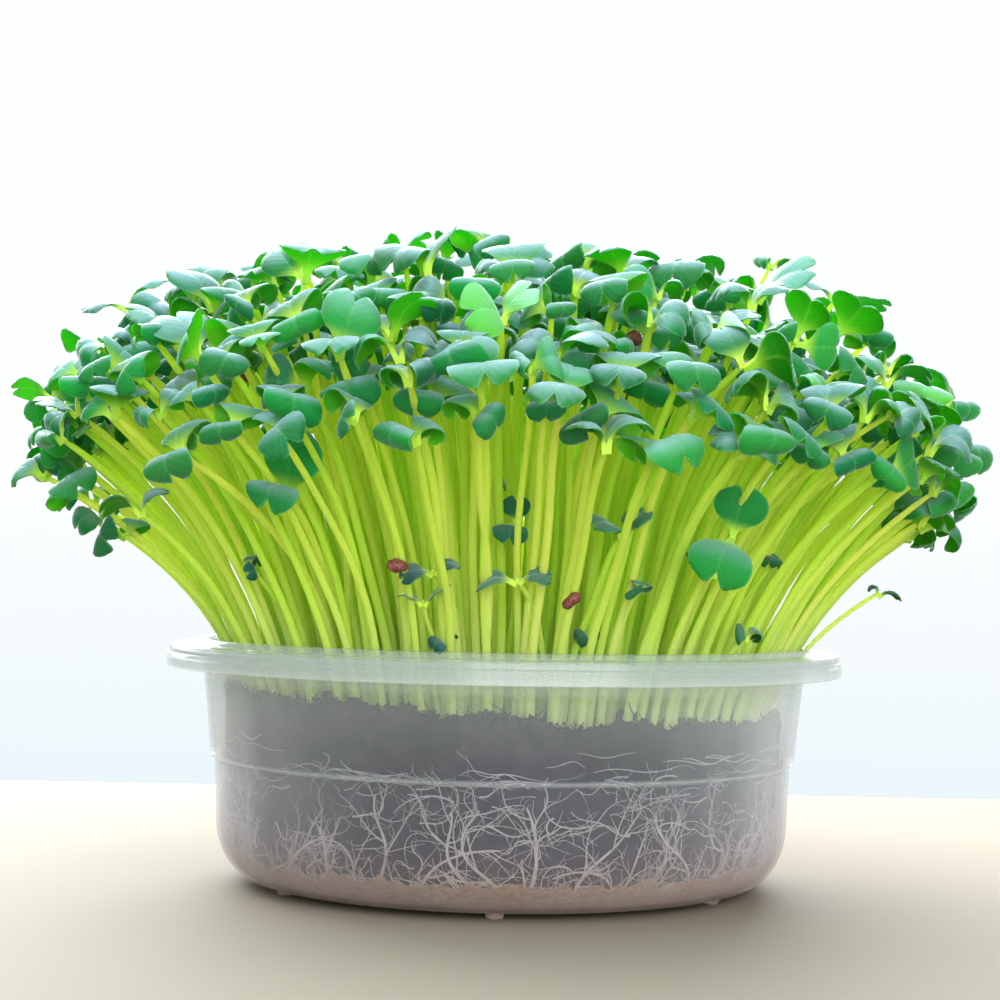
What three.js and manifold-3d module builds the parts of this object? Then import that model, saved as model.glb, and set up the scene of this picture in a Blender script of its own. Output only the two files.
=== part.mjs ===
// Radish microgreens growing in a round clear food tub: the tub with its feet, the soil, the root mat
// that has spread against the wall, and the seedlings that fan out over the rim in small bunches.
// Millimetres, +Z up, origin on the tub's axis at the surface it stands on, front towards -Y.
import * as THREE from "three";
import { mergeVertices } from "three/addons/utils/BufferGeometryUtils.js";
import Module from "manifold-3d";

const { Vector2, Vector3 } = THREE;
const wasm = await Module();
wasm.setup();

// The tub, moulded in one piece
const SEGMENTS = 36;
const WALL = 0.8;
const FOOT_HEIGHT = 1.6;
const FOOT_RADIUS = 2.2;
const FOOT_CIRCLE = 61;
const FEET = 6;
const FIRST_FOOT_DEG = -91; // just left of the front
const FLAT_RADIUS = 63.5; // where the underside starts to curve up
const CORNER_WIDE = 11;
const CORNER_TOP = 18;
const LOWER_RADIUS = 75; // outside, just under the step
const STEP_HEIGHT = 32.3;
const STEP_OUT = 1;
const STEP_RISE = 0.4;
const MOUTH_RADIUS = 79; // outside, just under the rim
const RIM_HEIGHT = 61.7; // the flat seat for a lid
const RIM_RADIUS = 88;
const SKIRT_DEPTH = 5.7;
const SKIRT_LEDGE = 0.6;
const SKIRT_LEDGE_DROP = 2.2;
const LIP_RISE = 1.4;
const LIP_THICKNESS = 1.9;

// Soil and roots
const FIT_GAP = 0.3; // between pieces that rest against each other
const MAT_THICKNESS = 1;
const MAT_TOP = 12;
const ROOT_RADIUS = 0.5;
const ROOT_STRANDS = 18;
const ROOT_TOP = 30;
const ROOT_INSET = WALL + FIT_GAP + ROOT_RADIUS + 0.2;
const SOIL_INSET = ROOT_INSET + ROOT_RADIUS + FIT_GAP;
const SOIL_LEVEL = 46;
const SOIL_SLOPE = 0.045; // the soil is heaped towards -X
const SOIL_BUMP = 1.3;

// Seedlings
const SEEDLINGS = 78;
const BUNCHES = 26;
const SOW_RADIUS = 67;
const RIM_PASS_RADIUS = 76; // the outermost stems lean out this far where they pass the rim
const CROWN_RADIUS = 3.4;
const CROWN_TIP_RADIUS = 1.2;
const CROWN_LENGTH = 13;
const STEM_RADIUS = 1.15;
const INNER_BEND = 0.56; // height of a stem's bend as a share of its own, in the middle of the canopy
const OUTER_BEND = 0.68; // and at its edge, where stems rise steeply before they lean out
const STEM_CIRCLE = 1.9; // of a bunch's stems where they leave its crown
const CANOPY_REACH = 124; // of the seedlings' tips, from the axis
const CANOPY_TOP = 165;
const CANOPY_FALL = 40; // from the middle to the edge
const CANOPY_FALL_POWER = 4;
const CREST_OFFSET = 5; // the canopy's crest lies this far towards -X, where the light comes from
const CANOPY_SPREAD = 0.72; // how fast the canopy widens with height above the rim
const TIP_DROP = 25; // how far below the canopy's top the shortest seedling ends
const PAIR_DROP = 4; // how far below the canopy's surface a full-sized pair of leaves starts
const EDGE_SHARE = 0.9; // beyond this share of the reach, pairs of leaves point outwards
const BLADE_LENGTH = 14;
const BLADE_HALF_WIDTH = 7.4;
const BLADE_HALF_THICKNESS = 0.36;
const STALK_HALF_WIDTH = 1;
const STALK_SUNK = 0.1; // how far below a stem's tip its pair of leaves starts
const STALK_HALF_THICKNESS = 0.5;
const BLADE_RISE = 1.05; // angle at the stalk, in radians above the seedling's own level
const BLADE_FALL = -1.2; // angle at the tip
const BLADE_FOLD = 0.5; // how far the sides turn down
const GOLDEN_ANGLE = Math.PI * (3 - Math.sqrt(5));

// Seedlings that stand out of the canopy or low in front of it: tip, size, and the direction of the pair
const STANDOUTS = [
  { tip: [70, 4, 168], size: 0.65, turn: 25 },
  { tip: [87, -6, 159], size: 0.9, turn: 4 },
  { tip: [78, 8, 156], size: 0.9, turn: 20 },
  { tip: [117, -10, 131], size: 1.1, turn: -35 },
  { tip: [-103, -4, 154], size: 0.95, turn: 10 },
  { tip: [-2, -12, 164], size: 1.2, turn: -8 },
  { tip: [25, 14, 162], size: 1.05, turn: 40 },
  { tip: [52, -86, 95], size: 1.0, turn: 78 },
  { tip: [-50, -88, 102], size: 1.1, turn: 60 },
  { tip: [-17, -83, 84], size: 0.55, turn: 20 },
  { tip: [2, -84, 83], size: 0.65, turn: -4 },
  { tip: [27, -84, 94], size: 0.7, turn: 35 },
];

// A number from 0 to 1 that is always the same for the same index and channel.
function vary(index, channel) {
  const wave = Math.sin(index * 12.9898 + channel * 78.233 + 4.1) * 43758.5453;
  return wave - Math.floor(wave);
}

const mix = (from, to, share) => from + (to - from) * share;

const upTo = (count) => Array.from({ length: count }, (_, index) => index);

const bunches = upTo(BUNCHES);

function solidOf(geometry) {
  const bare = geometry.clone();
  bare.deleteAttribute("normal");
  bare.deleteAttribute("uv");
  const merged = mergeVertices(bare, 1e-4);
  const corners = merged.index.array;
  const kept = [];
  for (let i = 0; i < corners.length; i += 3) {
    const [a, b, c] = corners.slice(i, i + 3);
    if (a !== b && b !== c && c !== a) kept.push(a, b, c);
  }
  return new wasm.Manifold(
    new wasm.Mesh({
      numProp: 3,
      vertProperties: merged.attributes.position.array,
      triVerts: new Uint32Array(kept),
    }),
  );
}

function meshOf(name, solid, material) {
  const { vertProperties, triVerts } = solid.getMesh();
  const geometry = new THREE.BufferGeometry();
  geometry.setAttribute("position", new THREE.BufferAttribute(vertProperties, 3));
  geometry.setIndex(new THREE.BufferAttribute(triVerts, 1));
  geometry.computeVertexNormals();
  const mesh = new THREE.Mesh(geometry, material);
  mesh.name = name;
  return mesh;
}

const lathe = (profile, segments) => new THREE.LatheGeometry(profile, segments).rotateX(Math.PI / 2);

const upright = (topRadius, bottomRadius, length, sides) =>
  new THREE.CylinderGeometry(topRadius, bottomRadius, length, sides).rotateX(Math.PI / 2);

// Radius of the tub's wall at a height, so many millimetres inside its outer face.
function wallRadius(height, inset) {
  if (height < CORNER_TOP) {
    const sine = (CORNER_TOP - height) / (CORNER_TOP - FOOT_HEIGHT - inset);
    return FLAT_RADIUS + (CORNER_WIDE - inset) * Math.sqrt(Math.max(0, 1 - sine * sine));
  }
  if (height < STEP_HEIGHT + inset) {
    const share = (height - CORNER_TOP) / (STEP_HEIGHT - CORNER_TOP);
    return mix(FLAT_RADIUS + CORNER_WIDE, LOWER_RADIUS, share) - inset;
  }
  const share = (height - STEP_HEIGHT) / (RIM_HEIGHT - STEP_HEIGHT);
  return mix(LOWER_RADIUS + STEP_OUT, MOUTH_RADIUS, share) - inset;
}

// The tub's section from the axis out along the floor and up the wall, as Vector2(radius, height).
function wallProfile(inset, topHeight) {
  const profile = [new Vector2(0, FOOT_HEIGHT + inset)];
  for (const degrees of [90, 54, 24, 0]) {
    const angle = THREE.MathUtils.degToRad(degrees);
    const radius = FLAT_RADIUS + (CORNER_WIDE - inset) * Math.cos(angle);
    const height = CORNER_TOP - (CORNER_TOP - FOOT_HEIGHT - inset) * Math.sin(angle);
    if (height > topHeight) {
      const last = profile.at(-1);
      const share = (topHeight - last.y) / (height - last.y);
      return [...profile, new Vector2(mix(last.x, radius, share), topHeight)];
    }
    profile.push(new Vector2(radius, height));
  }
  const step = STEP_HEIGHT + inset;
  if (topHeight > step + STEP_RISE) {
    profile.push(new Vector2(wallRadius(step - 0.01, inset), step));
    profile.push(new Vector2(wallRadius(step + STEP_RISE, inset), step + STEP_RISE));
  }
  profile.push(new Vector2(wallRadius(topHeight, inset), topHeight));
  return profile;
}

function tub() {
  const seatUnder = RIM_HEIGHT - WALL;
  const skirtFoot = RIM_HEIGHT - SKIRT_DEPTH;
  const ledge = RIM_HEIGHT - SKIRT_LEDGE_DROP;
  const innerLip = MOUTH_RADIUS - WALL;
  const outline = [
    ...wallProfile(0, seatUnder),
    new Vector2(RIM_RADIUS - SKIRT_LEDGE - WALL, seatUnder),
    new Vector2(RIM_RADIUS - SKIRT_LEDGE - WALL, ledge - WALL),
    new Vector2(RIM_RADIUS - WALL, skirtFoot),
    new Vector2(RIM_RADIUS, skirtFoot),
    new Vector2(RIM_RADIUS - 0.1, ledge),
    new Vector2(RIM_RADIUS - SKIRT_LEDGE, ledge + 0.2),
    new Vector2(RIM_RADIUS - SKIRT_LEDGE, RIM_HEIGHT),
    new Vector2(innerLip + LIP_THICKNESS + 0.2, RIM_HEIGHT),
    new Vector2(innerLip + LIP_THICKNESS - 0.2, RIM_HEIGHT + LIP_RISE),
    new Vector2(innerLip + 0.3, RIM_HEIGHT + LIP_RISE),
    ...wallProfile(WALL, seatUnder - WALL).reverse(),
  ];
  const shell = solidOf(lathe(outline, SEGMENTS));
  const feet = [];
  for (let foot = 0; foot < FEET; foot++) {
    const angle = THREE.MathUtils.degToRad(FIRST_FOOT_DEG + (foot * 360) / FEET);
    const length = FOOT_HEIGHT + WALL / 2;
    const stub = upright(FOOT_RADIUS + 0.2, FOOT_RADIUS - 0.2, length, 8);
    stub.translate(FOOT_CIRCLE * Math.cos(angle), FOOT_CIRCLE * Math.sin(angle), length / 2);
    feet.push(solidOf(stub));
  }
  return wasm.Manifold.union([shell, ...feet]);
}

// Height of the soil's uneven surface at a place.
function soilHeight(x, y) {
  const lumps = Math.sin(x * 0.23 + 1.1) * Math.cos(y * 0.19) + 0.6 * Math.sin(x * 0.11 - y * 0.31);
  return SOIL_LEVEL - SOIL_SLOPE * x + SOIL_BUMP * lumps;
}

function soil(holes) {
  const surface = [60, 42, 22, 0].map((radius) => new Vector2(radius, SOIL_LEVEL));
  const block = lathe([...wallProfile(SOIL_INSET, SOIL_LEVEL), ...surface], SEGMENTS);
  const place = block.getAttribute("position");
  for (let i = 0; i < place.count; i++) {
    if (place.getZ(i) > SOIL_LEVEL - 0.01) place.setZ(i, soilHeight(place.getX(i), place.getY(i)));
  }
  return solidOf(block).subtract(wasm.Manifold.union(holes));
}

// A thin root of three sides that lies against the tub's wall, through [degrees, height] stops.
function root(stops) {
  const line = new THREE.CatmullRomCurve3(
    stops.map(([degrees, height]) => {
      const angle = THREE.MathUtils.degToRad(degrees);
      const radius = wallRadius(height, ROOT_INSET);
      return new Vector3(radius * Math.cos(angle), radius * Math.sin(angle), height);
    }),
  );
  return solidOf(rod(line, ROOT_RADIUS, 3, stops.length));
}

// The mat of roots under the soil, with strands and branches that climb the tub's wall.
function rootMat() {
  const outer = WALL + FIT_GAP;
  const inner = outer + MAT_THICKNESS;
  const profile = [...wallProfile(outer, MAT_TOP), ...wallProfile(inner, MAT_TOP).reverse()];
  const dish = lathe(profile, SEGMENTS);
  const strands = [];
  for (let strand = 0; strand < ROOT_STRANDS; strand++) {
    const start = (strand * 360) / ROOT_STRANDS;
    const lean = 8 * (vary(strand, 12) - 0.5);
    const top = ROOT_TOP - 7 * vary(strand, 13);
    const fork = mix(MAT_TOP, top, 0.3 + 0.3 * vary(strand, 14));
    const side = vary(strand, 15) < 0.5 ? -1 : 1;
    strands.push(
      root([
        [start, MAT_TOP - 0.8],
        [start + lean * 0.8, fork],
        [start + lean, top],
      ]),
      root([
        [start + lean * 0.8, fork],
        [start + lean * 0.8 + side * (4 + 4 * vary(strand, 16)), fork + 5 + 3 * vary(strand, 17)],
      ]),
    );
  }
  return wasm.Manifold.union([solidOf(dish), ...strands]);
}

// A rod of even section along a line.
function rod(line, radius, sides, steps) {
  const section = new THREE.Shape();
  for (let side = 0; side < sides; side++) {
    const angle = (side * 2 * Math.PI) / sides;
    const corner = [radius * Math.cos(angle), radius * Math.sin(angle)];
    if (side) section.lineTo(...corner);
    else section.moveTo(...corner);
  }
  section.closePath();
  return new THREE.ExtrudeGeometry(section, { steps, bevelEnabled: false, extrudePath: line });
}

// Bunches and tips both lie on a spiral that fills a disc evenly, from its middle outwards.
function spiral(index, count, radius) {
  const share = Math.sqrt((index + 0.5) / count);
  const angle = index * GOLDEN_ANGLE;
  return { share, x: radius * share * Math.cos(angle), y: radius * share * Math.sin(angle) };
}

function footOf(bunch) {
  const { x, y } = spiral(bunch, BUNCHES, SOW_RADIUS);
  return new Vector3(x, y, soilHeight(x, y));
}

// The tapered crown of short thick roots at the foot of a bunch, which its stems rise from.
function crown(bunch) {
  const foot = footOf(bunch);
  const cone = upright(CROWN_RADIUS, CROWN_TIP_RADIUS, CROWN_LENGTH, 5);
  return solidOf(cone.translate(foot.x, foot.y, foot.z - CROWN_LENGTH / 2 - FIT_GAP));
}

// The hole in the soil round a crown. It widens a little more and goes on up past the soil's surface.
function crownHole(bunch) {
  const foot = footOf(bunch);
  const over = 3;
  const gap = FIT_GAP + 0.1;
  const hole = upright(CROWN_RADIUS + 2.2, CROWN_TIP_RADIUS + gap, CROWN_LENGTH + over + gap, 5);
  return solidOf(hole.translate(foot.x, foot.y, foot.z - (CROWN_LENGTH - over + gap) / 2 - FIT_GAP));
}

// A seedling's own upright lies halfway between the end of its stem and the vertical.
const ownUp = (bend, tip) => tip.clone().sub(bend).normalize().add(new Vector3(0, 0, 1)).normalize();

// One seedling: its bunch, the foot, bend and tip of its stem, its size and the direction of its pair.
// Stems fan out evenly, so a tip's place is scaled back to the soil to find the nearest bunch.
function grown(tip, size, turn, index) {
  const edge = Math.min(CANOPY_REACH, RIM_PASS_RADIUS + CANOPY_SPREAD * (tip.z - RIM_HEIGHT));
  const sown = tip.clone().multiplyScalar(SOW_RADIUS / edge);
  const distance = (bunch) => Math.hypot(footOf(bunch).x - sown.x, footOf(bunch).y - sown.y);
  const bunch = bunches.reduce((best, other) => (distance(other) < distance(best) ? other : best));
  const base = footOf(bunch);
  const side = Math.atan2(tip.y * 0.55 - base.y, tip.x * 0.55 - base.x);
  base.x += STEM_CIRCLE * Math.cos(side);
  base.y += STEM_CIRCLE * Math.sin(side);
  base.z -= 2.5;
  const across = Math.hypot(tip.x - base.x, tip.y - base.y);
  const lean = Math.min(0.13 + 0.16 * vary(index, 6), (0.12 * (tip.z - base.z)) / across);
  const bend = base.clone().lerp(tip, lean);
  const reach = Math.hypot(tip.x, tip.y) / CANOPY_REACH;
  bend.z = mix(base.z, tip.z, mix(INNER_BEND, OUTER_BEND, reach * reach));
  tip.addScaledVector(ownUp(bend, tip), -PAIR_DROP * size);
  return { bunch, base, bend, tip, size, turn };
}

function canopySeedling(index) {
  const { share, x, y } = spiral(index, SEEDLINGS, CANOPY_REACH);
  const fromCrest = Math.hypot(x + CREST_OFFSET, y) / CANOPY_REACH;
  const fall = CANOPY_FALL * Math.pow(fromCrest, CANOPY_FALL_POWER);
  const tip = new Vector3(x, y, CANOPY_TOP - fall - TIP_DROP * Math.pow(vary(index, 3), 1.4));
  const outward = Math.atan2(y, x) + 0.8 * (vary(index, 5) - 0.5);
  const turn = share > EDGE_SHARE ? outward : Math.PI * vary(index, 5);
  return grown(tip, 0.86 + 0.3 * vary(index, 4), turn, index);
}

function standoutSeedling({ tip, size, turn }, index) {
  return grown(new Vector3(...tip), size, THREE.MathUtils.degToRad(turn), SEEDLINGS + index);
}

// A point of a seed leaf's bent surface. along runs from 0 at the stalk to 1 at the tip, and across
// from -1 to 1 between its sides. level moves it off the middle of the leaf's thickness.
function bladePoint(along, across, level, size) {
  const swing = BLADE_FALL - BLADE_RISE;
  const heading = BLADE_RISE + swing * along;
  const length = (BLADE_LENGTH * size) / swing;
  const fold = BLADE_FOLD * across;
  const half = (BLADE_HALF_WIDTH * size) / BLADE_FOLD;
  const rise = half * (Math.cos(fold) - 1) + level * Math.cos(fold);
  return new Vector3(
    length * (Math.sin(heading) - Math.sin(BLADE_RISE)) - rise * Math.sin(heading),
    (half + level) * Math.sin(fold),
    length * (Math.cos(BLADE_RISE) - Math.cos(heading)) + rise * Math.cos(heading),
  );
}

// The heart-shaped seed leaf's outline from one side of its stalk round its notched tip to the other.
const BLADE_SIDE = [
  [0.4, 0.58],
  [0.7, 1],
  [1, 0.64],
];
const BLADE_OUTLINE = [
  ...BLADE_SIDE,
  [0.86, 0],
  ...BLADE_SIDE.map(([along, across]) => [along, -across]).reverse(),
];
const BLADE_MIDDLE = [0.55, 0];

// One face of a pair of seed leaves: both outlines with the stalks' corners between, then both middles.
function pairFace(size, way) {
  const level = way * BLADE_HALF_THICKNESS;
  const stalkCorner = new Vector3(0, STALK_HALF_WIDTH, way * STALK_HALF_THICKNESS);
  const leaf = BLADE_OUTLINE.map(([along, across]) => bladePoint(along, across, level, size));
  const middle = bladePoint(...BLADE_MIDDLE, level, size);
  const opposite = ({ x, y, z }) => new Vector3(-x, -y, z);
  const half = [stalkCorner, ...leaf];
  return [...half, ...half.map(opposite), middle, opposite(middle)];
}

// The pair of seed leaves on a stem's tip, turned about the seedling's own upright.
function bladePair({ bend, tip, size, turn }) {
  const up = ownUp(bend, tip);
  const level = new Vector3(Math.cos(turn), Math.sin(turn), 0);
  const forward = level.addScaledVector(up, -level.dot(up)).normalize();
  const place = new THREE.Matrix4().makeBasis(forward, up.clone().cross(forward), up);
  place.setPosition(tip.clone().addScaledVector(up, -STALK_SUNK));
  const points = [...pairFace(size, 1), ...pairFace(size, -1)].map((point) => point.applyMatrix4(place));
  const half = BLADE_OUTLINE.length + 1;
  const rim = 2 * half;
  const under = rim + 2;
  const faces = [];
  for (let i = 0; i < rim; i++) {
    const next = (i + 1) % rim;
    const middle = i < half ? rim : rim + 1;
    faces.push(middle, next, i, under + middle, under + i, under + next);
    faces.push(i, next, under + next, i, under + next, under + i);
  }
  faces.push(rim, 0, half, rim + 1, half, 0);
  faces.push(under + rim, under + half, under, under + rim + 1, under, under + half);
  return solidOf(new THREE.BufferGeometry().setFromPoints(points).setIndex(faces));
}

// What is already in place, so that each new stem and pair can be kept clear of it.
const standing = [];

function isClear(solid, fusedWith) {
  const box = solid.boundingBox();
  return standing.every((other) => {
    if (fusedWith.includes(other.solid)) return true;
    const apart = [0, 1, 2].some(
      (axis) =>
        other.box.min[axis] > box.max[axis] + FIT_GAP || box.min[axis] > other.box.max[axis] + FIT_GAP,
    );
    return apart || solid.minGap(other.solid, FIT_GAP * 2) >= FIT_GAP;
  });
}

function stand(solid) {
  standing.push({ solid, box: solid.boundingBox() });
  return solid;
}

// The stem's rod, bowed a little to one side or the other until it passes the others.
function clearStem(plant, ownBunch) {
  const across = new Vector3(-plant.tip.y, plant.tip.x, 0).normalize();
  for (const bow of [0, 3, -3, 6, -6, 9, -9, 13, -13]) {
    const bend = plant.bend.clone().addScaledVector(across, bow);
    const line = new THREE.QuadraticBezierCurve3(plant.base, bend, plant.tip);
    const stem = solidOf(rod(line, STEM_RADIUS, 3, 3));
    if (isClear(stem, ownBunch)) {
      plant.bend = bend;
      return stand(stem);
    }
  }
  return null;
}

// The pair of leaves, turned and then made smaller until it clears the others.
function clearPair(plant) {
  for (const share of [1, 0.88, 0.76, 0.64, 0.52]) {
    for (const turned of [0, 25, -25, 50, -50, 75, -75, 90]) {
      const turn = plant.turn + THREE.MathUtils.degToRad(turned);
      const pair = bladePair({ ...plant, size: plant.size * share, turn });
      if (isClear(pair, [plant.stem])) return stand(pair);
    }
  }
  return null;
}

const material = (color, roughness, opacity = 1) =>
  new THREE.MeshStandardMaterial({ color, roughness, metalness: 0, opacity, transparent: opacity < 1 });
const clearPlastic = material(0xdfe8ea, 0.25, 0.4);
const darkSoil = material(0x3a3433, 0.95);
const whiteRoot = material(0xd9cfc4, 0.7);
const leafGreen = material(0x3f9a5c, 0.5);

const tray = new THREE.Group();
tray.name = "microgreens_tray";
tray.add(meshOf("tub", stand(tub()), clearPlastic));
tray.add(meshOf("root_mat", rootMat(), whiteRoot));
tray.add(meshOf("soil", stand(soil(bunches.map(crownHole))), darkSoil));

const grownBunches = bunches.map(() => []);
const plants = [...STANDOUTS.map(standoutSeedling), ...upTo(SEEDLINGS).map(canopySeedling)];
for (const plant of plants) {
  plant.stem = clearStem(plant, grownBunches[plant.bunch]);
  if (plant.stem) grownBunches[plant.bunch].push(plant.stem);
}
for (const plant of plants) {
  const pair = plant.stem && clearPair(plant);
  if (pair) grownBunches[plant.bunch].push(pair);
}

grownBunches.forEach((pieces, bunch) => {
  const name = "bunch_" + String(bunch + 1).padStart(2, "0");
  tray.add(meshOf(name, wasm.Manifold.union([crown(bunch), ...pieces]), leafGreen));
});

export default tray;
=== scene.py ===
import math

import bpy
import numpy as np
from mathutils import Euler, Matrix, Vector, noise


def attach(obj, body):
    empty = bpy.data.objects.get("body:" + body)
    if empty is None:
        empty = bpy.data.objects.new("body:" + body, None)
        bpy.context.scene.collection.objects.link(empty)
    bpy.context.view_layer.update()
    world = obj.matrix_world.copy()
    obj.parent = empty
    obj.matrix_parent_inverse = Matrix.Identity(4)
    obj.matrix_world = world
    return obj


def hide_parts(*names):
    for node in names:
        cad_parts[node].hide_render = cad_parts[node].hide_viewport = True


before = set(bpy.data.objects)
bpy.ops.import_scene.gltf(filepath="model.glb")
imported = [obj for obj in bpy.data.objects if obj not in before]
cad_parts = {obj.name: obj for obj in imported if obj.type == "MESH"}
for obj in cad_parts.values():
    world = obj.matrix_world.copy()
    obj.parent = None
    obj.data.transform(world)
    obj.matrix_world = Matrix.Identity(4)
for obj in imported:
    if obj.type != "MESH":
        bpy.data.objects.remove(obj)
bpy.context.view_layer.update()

# Tub: a round food tub, injection moulded in one piece from natural polypropylene 0.8 mm thick, so it
# is clear but milky. It has a step halfway up, a flat seat for a lid with a raised lip inside and a
# skirt outside, and six small feet under the floor. Sizes are in millimetres.

MM = 0.001
WALL = 0.8
FLOOR_HEIGHT = 1.6
FLAT_RADIUS = 63.5
CORNER_WIDE = 11.0
CORNER_TOP = 18.0
LOWER_RADIUS = 75.0
STEP_HEIGHT = 32.3
STEP_OUT = 1.0
MOUTH_RADIUS = 79.0
RIM_HEIGHT = 61.7
RIM_RADIUS = 88.0


def wall_radius(height, inset):
    """Radius of the tub's wall at a height, that many millimetres inside its outer face."""
    height = np.asarray(height, dtype=float)
    sine = np.clip((CORNER_TOP - height) / (CORNER_TOP - FLOOR_HEIGHT - inset), 0, 1)
    corner = FLAT_RADIUS + (CORNER_WIDE - inset) * np.sqrt(1 - sine * sine)
    low_share = (height - CORNER_TOP) / (STEP_HEIGHT - CORNER_TOP)
    lower = FLAT_RADIUS + CORNER_WIDE + (LOWER_RADIUS - FLAT_RADIUS - CORNER_WIDE) * low_share - inset
    high_share = (height - STEP_HEIGHT) / (RIM_HEIGHT - STEP_HEIGHT)
    above_step = LOWER_RADIUS + STEP_OUT
    upper = above_step + (MOUTH_RADIUS - above_step) * high_share - inset
    over = np.clip((height - STEP_HEIGHT - inset) / 0.5, 0, 1)
    straight = lower + (upper - lower) * over * over * (3 - 2 * over)
    return np.where(height < CORNER_TOP, corner, straight)


def wall_line(inset, top, steps=14):
    """Points (radius, height) along the floor and up the wall to a height."""
    line = [(r, FLOOR_HEIGHT + inset) for r in (0, 15, 30, 45, 56)]
    for angle in np.linspace(90, 0, steps):
        turn = math.radians(angle)
        line.append((FLAT_RADIUS + (CORNER_WIDE - inset) * math.cos(turn),
                     CORNER_TOP - (CORNER_TOP - FLOOR_HEIGHT - inset) * math.sin(turn)))
    for height in (22, 27, 31, STEP_HEIGHT + inset, STEP_HEIGHT + inset + 0.17,
                   STEP_HEIGHT + inset + 0.34, STEP_HEIGHT + inset + 0.5, 36, 42, 48, 54, top):
        line.append((float(wall_radius(height, inset)), height))
    return [point for point in line if point[1] <= top]


def new_piece(name, points, faces, looks, look_of_face=None, smooth_below=None):
    """A mesh object from points in millimetres, riding on the tub's body."""
    mesh = bpy.data.meshes.new(name)
    mesh.from_pydata((np.asarray(points) * MM).tolist(), [], faces)
    for look in looks:
        mesh.materials.append(look)
    if look_of_face is not None:
        mesh.polygons.foreach_set("material_index", look_of_face)
    mesh.polygons.foreach_set("use_smooth", [smooth_below is not None] * len(mesh.polygons))
    if smooth_below:
        mesh.set_sharp_from_angle(angle=math.radians(smooth_below))
    mesh.update()
    piece = bpy.data.objects.new(name, mesh)
    bpy.context.collection.objects.link(piece)
    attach(piece, "root")
    return piece


def turned(line, segments):
    """Points and faces of a closed line of (radius, height) turned about the tub's axis."""
    points, rings = [], []
    for radius, height in line:
        if radius < 1e-6:
            rings.append([len(points)])
            points.append((0, 0, height))
            continue
        rings.append(list(range(len(points), len(points) + segments)))
        for k in range(segments):
            turn = 2 * math.pi * k / segments
            points.append((radius * math.cos(turn), radius * math.sin(turn), height))
    faces = []
    for low, high in zip(rings, rings[1:]):
        for k in range(segments):
            n = (k + 1) % segments
            if len(low) == 1:
                faces.append((low[0], high[n], high[k]))
            elif len(high) == 1:
                faces.append((low[k], low[n], high[0]))
            else:
                faces.append((low[k], low[n], high[n], high[k]))
    return points, faces


def look_nodes(name):
    """A new material, its node tree and its main shader."""
    look = bpy.data.materials.new(name)
    look.use_nodes = True
    return look, look.node_tree, look.node_tree.nodes["Principled BSDF"]


def shade(tree, kind, **inputs):
    """A node with its inputs set to a value or joined to another node's socket."""
    node = tree.nodes.new(kind)
    for key, value in inputs.items():
        key = key.replace("_", " ")
        socket = node.inputs[int(key[1:])] if key[0] == "i" and key[1:].isdigit() else node.inputs[key]
        if isinstance(value, bpy.types.NodeSocket):
            tree.links.new(value, socket)
        else:
            socket.default_value = value
    return node


def ramp(tree, factor, *stops):
    """Colours between (position, (r, g, b)) stops along a factor."""
    node = tree.nodes.new("ShaderNodeValToRGB")
    tree.links.new(factor, node.inputs["Fac"])
    while len(node.color_ramp.elements) < len(stops):
        node.color_ramp.elements.new(0.5)
    for element, (position, colour) in zip(node.color_ramp.elements, stops):
        element.position = position
        element.color = (*colour, 1)
    return node.outputs["Color"]


def maths(tree, operation, *values):
    """The outcome of one sum on sockets or numbers."""
    node = shade(tree, "ShaderNodeMath")
    node.operation = operation
    for socket, value in zip(node.inputs, values):
        if isinstance(value, bpy.types.NodeSocket):
            tree.links.new(value, socket)
        else:
            socket.default_value = value
    return node.outputs["Value"]


def remap(tree, value, low, high, first=0.0, last=1.0):
    """A value moved from one range to another and kept inside it."""
    node = shade(tree, "ShaderNodeMapRange", Value=value, i1=low, i2=high, i3=first, i4=last)
    return node.outputs["Result"]


def axis(tree, vector, letter):
    """One coordinate of a vector."""
    return shade(tree, "ShaderNodeSeparateXYZ", Vector=vector).outputs[letter]


def place_on(tree):
    """Places on the piece, in metres from the middle of the tub's foot."""
    return shade(tree, "ShaderNodeTexCoord").outputs["Object"]


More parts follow.
